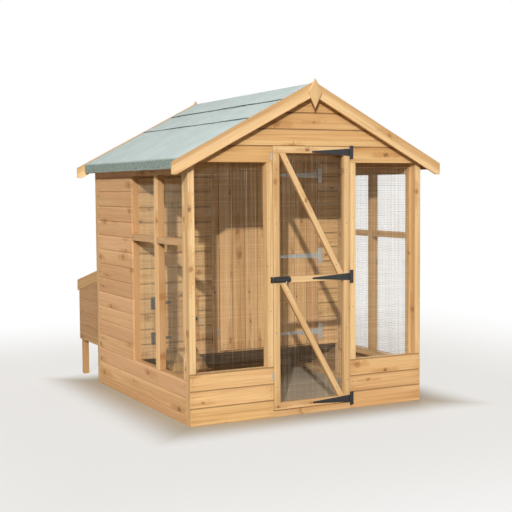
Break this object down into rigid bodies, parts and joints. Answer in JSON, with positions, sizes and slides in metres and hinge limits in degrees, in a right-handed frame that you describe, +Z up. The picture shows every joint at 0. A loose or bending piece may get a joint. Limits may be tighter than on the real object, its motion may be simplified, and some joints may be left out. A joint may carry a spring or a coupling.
{
  "type": "hen house",
  "caption": "Walk-in timber hen house with a netted front run, hinged netted door, raised rear sleeping house with pop hole, felted gable roof and rear nest box.",
  "frame": {"origin": "centre of the whole object's footprint box, on the ground", "axes": "+Z up; +Y from the front wall with its door towards the nest box at the rear, along the longest extent; +X to the right of someone who faces the front"},
  "size_m": [2.094, 2.443, 2.294],
  "materials": {
    "cladding_boards": "golden preservative-treated softwood",
    "sawn_timber": "golden preservative-treated softwood",
    "inner_timber": "rough softwood",
    "roofing_felt": "green mineral grit",
    "galvanised_netting": "dull galvanised wire",
    "galvanised_steel": "dull galvanised",
    "bright_zinc": "bright zinc plate",
    "black_iron": "satin black",
    "dark_iron": "satin dark grey"
  },
  "bodies": {
    "house": {"bargeboards": "sawn_timber", "bolt_keep": "black_iron", "button_screws": "bright_zinc", "door_threshold": "sawn_timber", "eave_battens": "sawn_timber", "felt_left": "roofing_felt", "felt_ridge_cap": "roofing_felt", "felt_right": "roofing_felt", "finials": "sawn_timber", "floor_boards": "inner_timber", "floor_joists": "inner_timber", "front_cover_strips": "sawn_timber", "front_frame": "sawn_timber", "front_gable_boards": "cladding_boards", "front_nets": "galvanised_netting", "front_skirt_boards": "cladding_boards", "hinge_pins": "galvanised_steel", "house_hinge_plates": "galvanised_steel", "left_boards": "cladding_boards", "left_frame": "sawn_timber", "lid_hinge_leaves": "galvanised_steel", "nest_dividers": "inner_timber", "nest_floor": "inner_timber", "nest_legs": "sawn_timber", "nest_walls": "cladding_boards", "partition_boards": "cladding_boards", "partition_frame": "sawn_timber", "perch_cleats": "inner_timber", "perches": "inner_timber", "pop_hinge_plates": "dark_iron", "purlins": "inner_timber", "rear_boards": "cladding_boards", "rear_frame": "sawn_timber", "ridge_beam": "inner_timber", "right_boards": "cladding_boards", "right_frame": "sawn_timber", "roof_boards": "inner_timber", "run_hinge_plates": "black_iron", "side_cover_strips": "sawn_timber", "side_nets": "galvanised_netting"},
    "run_door": {"run_door_stiles": "sawn_timber", "run_door_rails": "sawn_timber", "run_door_braces": "sawn_timber", "run_door_net": "galvanised_netting", "run_hinge_straps": "black_iron", "bolt_case": "black_iron"},
    "run_bolt": {"run_bolt": "bright_zinc"},
    "run_button_top": {"run_button_top": "bright_zinc"},
    "run_button_low": {"run_button_low": "bright_zinc"},
    "house_door": {"house_door_boards": "cladding_boards", "house_door_ledges": "sawn_timber", "house_hinge_straps": "galvanised_steel"},
    "house_button": {"house_button": "bright_zinc"},
    "pop_door": {"pop_door_boards": "cladding_boards", "pop_hinge_straps": "dark_iron", "pop_door_knob": "dark_iron"},
    "pop_button": {"pop_button": "bright_zinc"},
    "nest_lid": {"lid_frame": "sawn_timber", "lid_boards": "cladding_boards", "lid_hinge_flaps": "galvanised_steel"}
  },
  "joints": [
    {"name": "run_door_hinge", "type": "hinge", "parent": "house", "child": "run_door", "pos_m": [0.3145, -1.1585, 0.934], "axis": [0, 0, 1], "range_deg": [0, 150]},
    {"name": "run_bolt_slide", "type": "slide", "parent": "run_door", "child": "run_bolt", "axis": [-1, 0, 0], "range_m": [0, 0.022]},
    {"name": "run_button_top_turn", "type": "hinge", "parent": "house", "child": "run_button_top", "pos_m": [-0.306, -1.1543, 1.765], "axis": [0, -1, 0], "range_deg": [0, 90]},
    {"name": "run_button_low_turn", "type": "hinge", "parent": "house", "child": "run_button_low", "pos_m": [-0.306, -1.1543, 0.28], "axis": [0, -1, 0], "range_deg": [0, 90]},
    {"name": "house_door_hinge", "type": "hinge", "parent": "house", "child": "house_door", "pos_m": [0.671, -0.1185, 1.014], "axis": [0, 0, 1], "range_deg": [0, 95]},
    {"name": "house_button_turn", "type": "hinge", "parent": "house", "child": "house_button", "pos_m": [-0.219, -0.1143, 0.452], "axis": [0, -1, 0], "range_deg": [0, 90]},
    {"name": "pop_door_hinge", "type": "hinge", "parent": "house", "child": "pop_door", "pos_m": [-0.7435, -0.1185, 0.5735], "axis": [0, 0, -1], "range_deg": [0, 100]},
    {"name": "pop_button_turn", "type": "hinge", "parent": "house", "child": "pop_button", "pos_m": [-0.376, -0.1143, 0.545], "axis": [0, -1, 0], "range_deg": [0, 90]},
    {"name": "nest_lid_hinge", "type": "hinge", "parent": "house", "child": "nest_lid", "pos_m": [-0.305, 0.7115, 0.90684], "axis": [1, 0, 0], "range_deg": [0, 95]}
  ]
}
